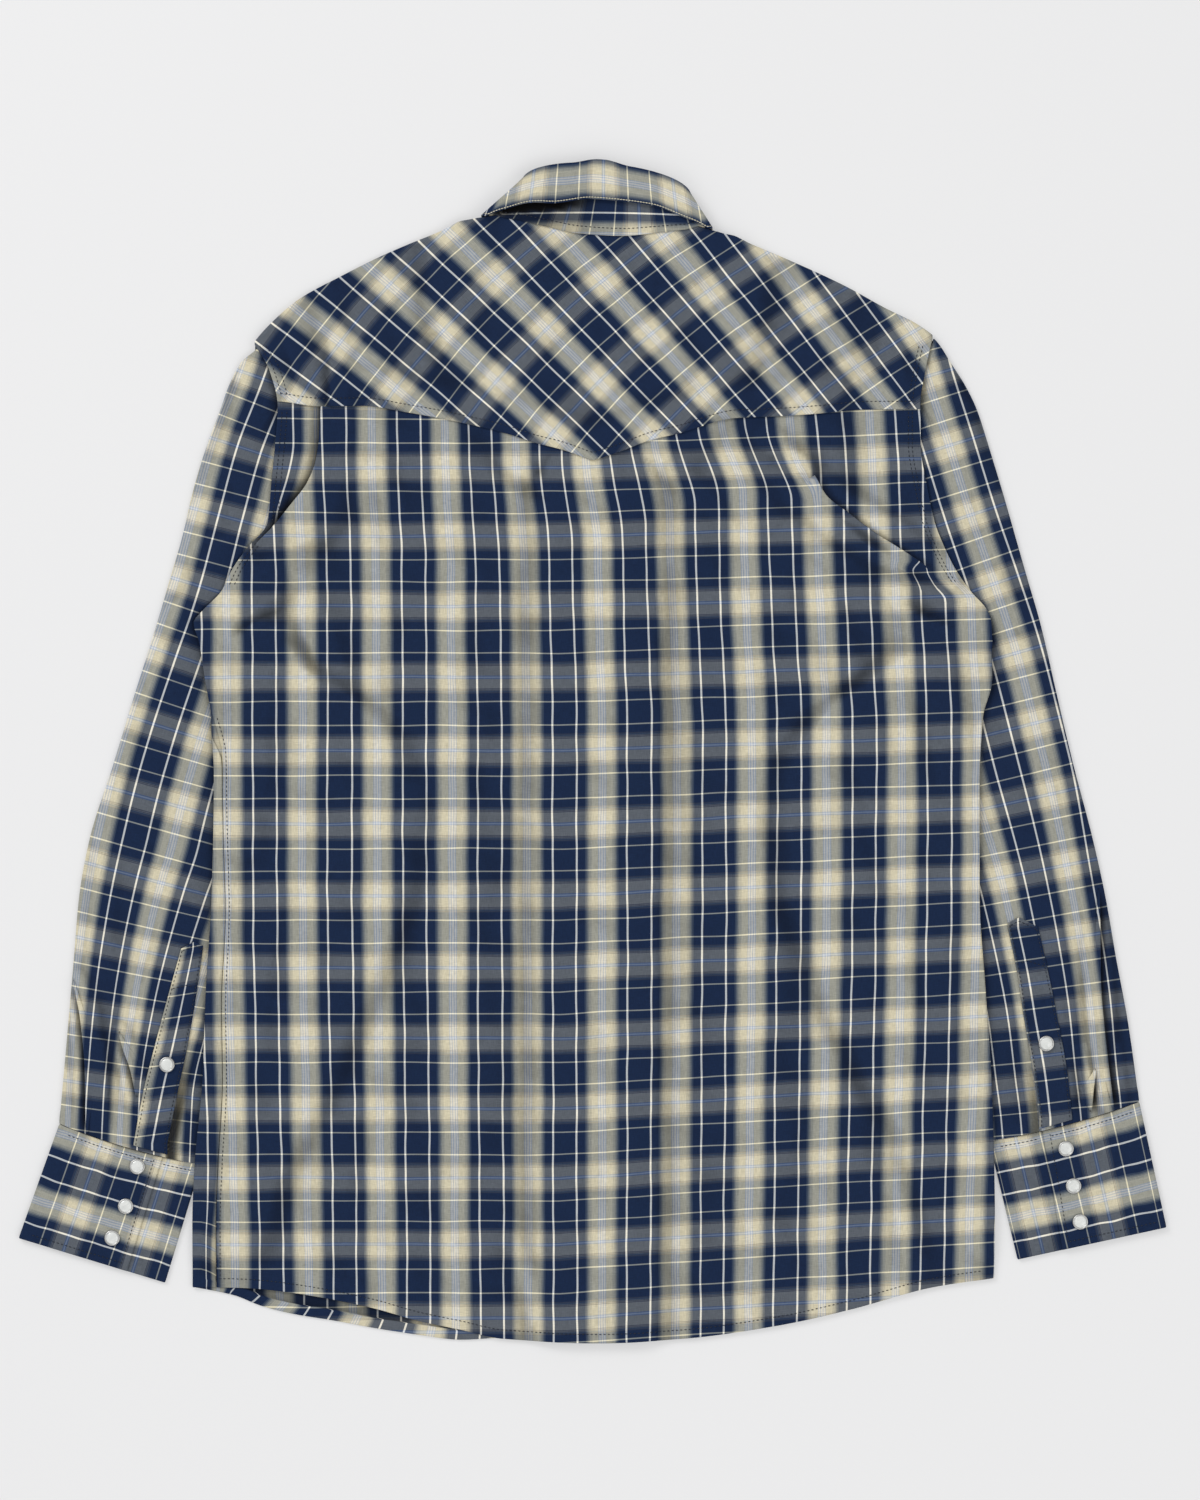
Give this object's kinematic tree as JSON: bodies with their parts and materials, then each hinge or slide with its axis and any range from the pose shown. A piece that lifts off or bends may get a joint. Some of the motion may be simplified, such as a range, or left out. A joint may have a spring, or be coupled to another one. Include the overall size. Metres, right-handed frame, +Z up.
{
  "type": "western snap shirt",
  "caption": "Long-sleeved western snap shirt in navy, beige and cream plaid, laid flat with its back up: pointed back yoke, fold-over collar, snapped cuffs.",
  "frame": {"origin": "on the surface the shirt lies on, under the middle of its box", "axes": "+Z up from the surface towards the back of the shirt, +Y from hem to collar, -X towards the wearer's left sleeve"},
  "size_m": [0.803, 0.8277, 0.0115],
  "materials": {
    "plaid_cloth": "matte woven cotton plaid",
    "pearl_snap": "pearl cap in a bright metal ring"
  },
  "bodies": {
    "root": {"back": "plaid_cloth", "yoke": "plaid_cloth", "front_left": "plaid_cloth", "front_right": "plaid_cloth", "front_band": "plaid_cloth", "collar_stand": "plaid_cloth", "collar_leaf": "plaid_cloth", "sleeve_left": "plaid_cloth", "sleeve_placket_left": "plaid_cloth", "cuff_left": "plaid_cloth", "sleeve_right": "plaid_cloth", "sleeve_placket_right": "plaid_cloth", "cuff_right": "plaid_cloth", "snap_cuff_left_1": "pearl_snap", "snap_cuff_left_2": "pearl_snap", "snap_cuff_left_3": "pearl_snap", "snap_placket_left": "pearl_snap", "snap_cuff_right_1": "pearl_snap", "snap_cuff_right_2": "pearl_snap", "snap_cuff_right_3": "pearl_snap", "snap_placket_right": "pearl_snap", "snap_front_1": "pearl_snap", "snap_front_2": "pearl_snap", "snap_front_3": "pearl_snap", "snap_front_4": "pearl_snap", "snap_front_5": "pearl_snap", "snap_front_6": "pearl_snap", "snap_collar": "pearl_snap"}
  },
  "joints": []
}
